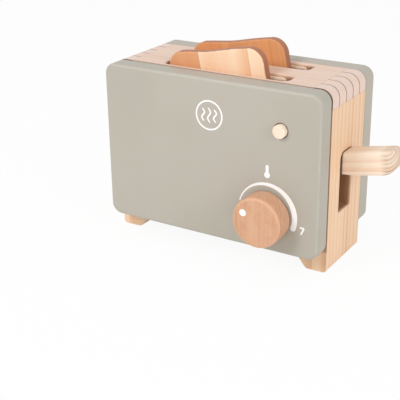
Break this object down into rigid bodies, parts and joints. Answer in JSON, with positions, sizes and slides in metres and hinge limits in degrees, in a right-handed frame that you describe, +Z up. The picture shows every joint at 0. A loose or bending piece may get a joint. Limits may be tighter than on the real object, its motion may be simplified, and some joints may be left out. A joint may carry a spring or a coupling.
{
  "type": "toy toaster",
  "caption": "Wooden toy toaster with painted side panels, a tilting side lever that lifts toast slices out of slots, a turning knob and a push button.",
  "frame": {"origin": "on the surface that the toaster stands on, under the middle of its overall box, lever and knob included", "axes": "+X towards the lever, -Y towards the face with the knob, +Z up"},
  "size_m": [0.2352, 0.112, 0.1671],
  "materials": {
    "painted_board": "satin grey-green paint",
    "pale_wood": "clear matt lacquer",
    "lever_wood": "clear matt lacquer",
    "toast_wood": "clear lacquer, brown stained edge",
    "knob_wood": "clear matt lacquer",
    "button_wood": "clear matt lacquer",
    "dowel_wood": "bare turned wood",
    "felt": "pressed felt",
    "spring_steel": "bright",
    "screw_steel": "zinc"
  },
  "bodies": {
    "body": {"front_panel": "painted_board", "back_panel": "painted_board", "top_board": "pale_wood", "left_end_board": "pale_wood", "right_end_board": "pale_wood", "bottom_board": "pale_wood", "rear_slot_liner": "pale_wood", "front_slot_liner": "pale_wood", "panel_dowels": "dowel_wood", "bottom_board_dowels": "dowel_wood", "lever_pivot_dowel": "dowel_wood", "pivot_spacers": "dowel_wood", "lever_spring": "spring_steel", "knob_washer": "felt", "button_spring": "spring_steel", "button_bridge": "pale_wood", "bridge_screws": "screw_steel"},
    "lever": {"lever_arm": "lever_wood", "carrier_dowels": "dowel_wood"},
    "rear_slice": {"rear_toast": "toast_wood"},
    "front_slice": {"front_toast": "toast_wood"},
    "knob": {"knob": "knob_wood", "knob_shaft": "dowel_wood", "knob_keeper": "dowel_wood"},
    "button": {"push_button": "button_wood"}
  },
  "joints": [
    {"name": "lever_hinge", "type": "hinge", "parent": "body", "child": "lever", "pos_m": [-0.09262, 0.009, 0.05], "axis": [0, 1, 0], "range_deg": [0, 10.2], "stiffness_Nm_per_rad": 0.6, "springref_deg": -22.92, "deforming": ["lever_spring"]},
    {"name": "rear_slice_lift", "type": "slide", "parent": "lever", "child": "rear_slice", "axis": [-0.1908, 0, 0.9816], "range_m": [0, 0.11]},
    {"name": "front_slice_lift", "type": "slide", "parent": "lever", "child": "front_slice", "axis": [-0.1908, 0, 0.9816], "range_m": [0, 0.11]},
    {"name": "knob_turn", "type": "hinge", "parent": "body", "child": "knob", "pos_m": [0.02968, -0.038, 0.0455], "axis": [0, 1, 0], "range_deg": [-15, 170]},
    {"name": "button_press", "type": "slide", "parent": "body", "child": "button", "axis": [0, 1, 0], "range_m": [0, 0.0035], "stiffness_N_per_m": 300, "springref_m": -0.004, "deforming": ["button_spring"]}
  ]
}
